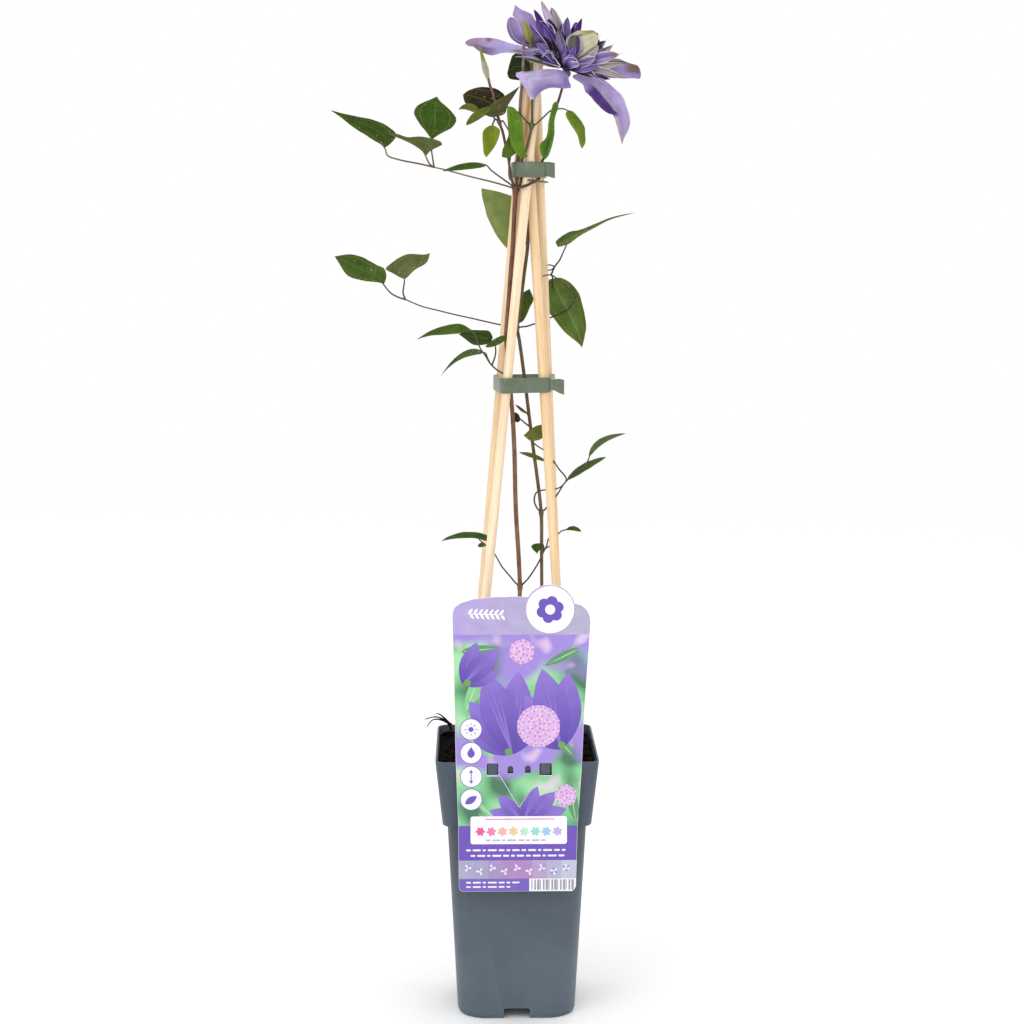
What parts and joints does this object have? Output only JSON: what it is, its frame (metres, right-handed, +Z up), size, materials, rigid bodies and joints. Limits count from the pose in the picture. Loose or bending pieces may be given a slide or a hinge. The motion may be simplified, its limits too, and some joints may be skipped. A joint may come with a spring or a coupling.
{
  "type": "potted clematis",
  "caption": "Climbing clematis in a square slate-grey nursery pot, tied to canes, with buds, leaves and a double lavender and violet flower.",
  "frame": {"origin": "middle of the pot's foot, on the surface it stands on", "axes": "+Z up, -Y towards the side with the label, +X to the right as seen from that side"},
  "size_m": [0.1953, 0.106, 0.6526],
  "materials": {
    "bark_fibre_tuft": "matte",
    "flower_bud_left": "matte",
    "flower_bud_middle": "matte",
    "flower_receptacle": "matte",
    "flower_stalk": "matte",
    "label": "gloss",
    "leaf_behind_stakes": "matte",
    "leaf_between_stakes": "matte",
    "leaf_bud_shoot_left": "matte",
    "leaf_bud_shoot_right": "matte",
    "leaf_green_shoot_left": "matte",
    "leaf_green_shoot_right": "matte",
    "leaf_lower_left": "matte",
    "leaf_lower_right": "matte",
    "leaf_lower_twig": "matte",
    "leaf_middle_left": "matte",
    "leaf_narrow_left": "matte",
    "leaf_olive": "matte",
    "leaf_right_middle": "matte",
    "leaf_small_dark": "matte",
    "leaf_stalk_bract": "matte",
    "leaf_strap_left": "matte",
    "leaf_thin_dry": "matte",
    "leaf_top_back": "matte",
    "leaf_upper_left": "matte",
    "petals_back": "matte",
    "petals_front": "matte",
    "pot": "satin",
    "sepal_front": "matte",
    "sepal_left": "matte",
    "sepal_left_back": "matte",
    "sepal_right": "matte",
    "sepal_right_hanging": "matte",
    "sepal_upper_left": "matte",
    "shoot_bud": "matte",
    "shoot_cut": "matte",
    "shoot_green": "matte",
    "stake_back_left": "satin",
    "stake_back_right": "satin",
    "stake_front_left": "satin",
    "stake_front_right": "satin",
    "stem_left": "matte",
    "stem_right": "matte",
    "strap_middle": "satin",
    "strap_top": "satin",
    "substrate": "matte",
    "wire_tie": "satin"
  },
  "bodies": {
    "root": {"bark_fibre_tuft": "bark_fibre_tuft", "flower_bud_left": "flower_bud_left", "flower_bud_middle": "flower_bud_middle", "flower_receptacle": "flower_receptacle", "flower_stalk": "flower_stalk", "label": "label", "leaf_behind_stakes": "leaf_behind_stakes", "leaf_between_stakes": "leaf_between_stakes", "leaf_bud_shoot_left": "leaf_bud_shoot_left", "leaf_bud_shoot_right": "leaf_bud_shoot_right", "leaf_green_shoot_left": "leaf_green_shoot_left", "leaf_green_shoot_right": "leaf_green_shoot_right", "leaf_lower_left": "leaf_lower_left", "leaf_lower_right": "leaf_lower_right", "leaf_lower_twig": "leaf_lower_twig", "leaf_middle_left": "leaf_middle_left", "leaf_narrow_left": "leaf_narrow_left", "leaf_olive": "leaf_olive", "leaf_right_middle": "leaf_right_middle", "leaf_small_dark": "leaf_small_dark", "leaf_stalk_bract": "leaf_stalk_bract", "leaf_strap_left": "leaf_strap_left", "leaf_thin_dry": "leaf_thin_dry", "leaf_top_back": "leaf_top_back", "leaf_upper_left": "leaf_upper_left", "petals_back": "petals_back", "petals_front": "petals_front", "pot": "pot", "sepal_front": "sepal_front", "sepal_left": "sepal_left", "sepal_left_back": "sepal_left_back", "sepal_right": "sepal_right", "sepal_right_hanging": "sepal_right_hanging", "sepal_upper_left": "sepal_upper_left", "shoot_bud": "shoot_bud", "shoot_cut": "shoot_cut", "shoot_green": "shoot_green", "stake_back_left": "stake_back_left", "stake_back_right": "stake_back_right", "stake_front_left": "stake_front_left", "stake_front_right": "stake_front_right", "stem_left": "stem_left", "stem_right": "stem_right", "strap_middle": "strap_middle", "strap_top": "strap_top", "substrate": "substrate", "wire_tie": "wire_tie"}
  },
  "joints": []
}
